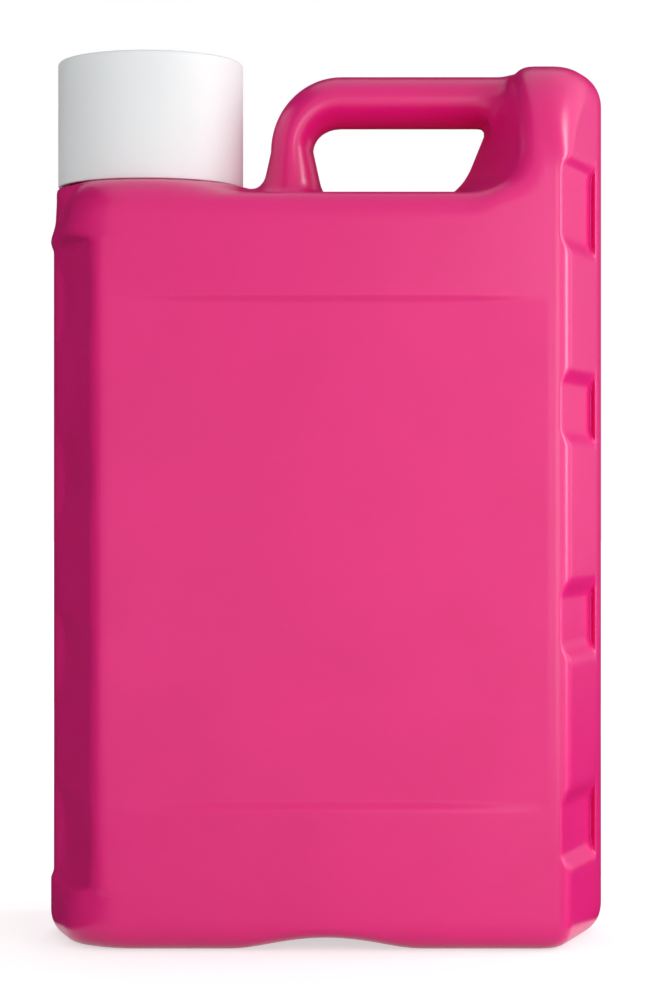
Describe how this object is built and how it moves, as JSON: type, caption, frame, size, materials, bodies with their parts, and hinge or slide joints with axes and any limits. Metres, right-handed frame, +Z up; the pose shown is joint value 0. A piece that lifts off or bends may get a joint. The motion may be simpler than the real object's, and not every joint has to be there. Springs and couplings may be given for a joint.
{
  "type": "stain remover bottle",
  "caption": "Flat-fronted pink plastic jug with a moulded loop handle at one shoulder and a translucent screw dosing cap over a drain-back pouring insert at the other.",
  "frame": {"origin": "centre of the bottle's footprint, on the surface it stands on", "axes": "+Z up, +X from the neck towards the handle tower, -Y out of the front label panel"},
  "size_m": [0.18, 0.088, 0.2814],
  "materials": {
    "pink_shell": "satin blow-moulded polyethylene",
    "white_insert": "natural moulded polyethylene",
    "frosted_cap": "frosted translucent polypropylene"
  },
  "bodies": {
    "bottle": {"bottle": "pink_shell", "pour_spout": "white_insert"},
    "cap": {"dosing_cap": "frosted_cap"}
  },
  "joints": [
    {"name": "cap_lift", "type": "slide", "parent": "bottle", "child": "cap", "axis": [0, 0, 1], "range_m": [0, 0.05]}
  ]
}
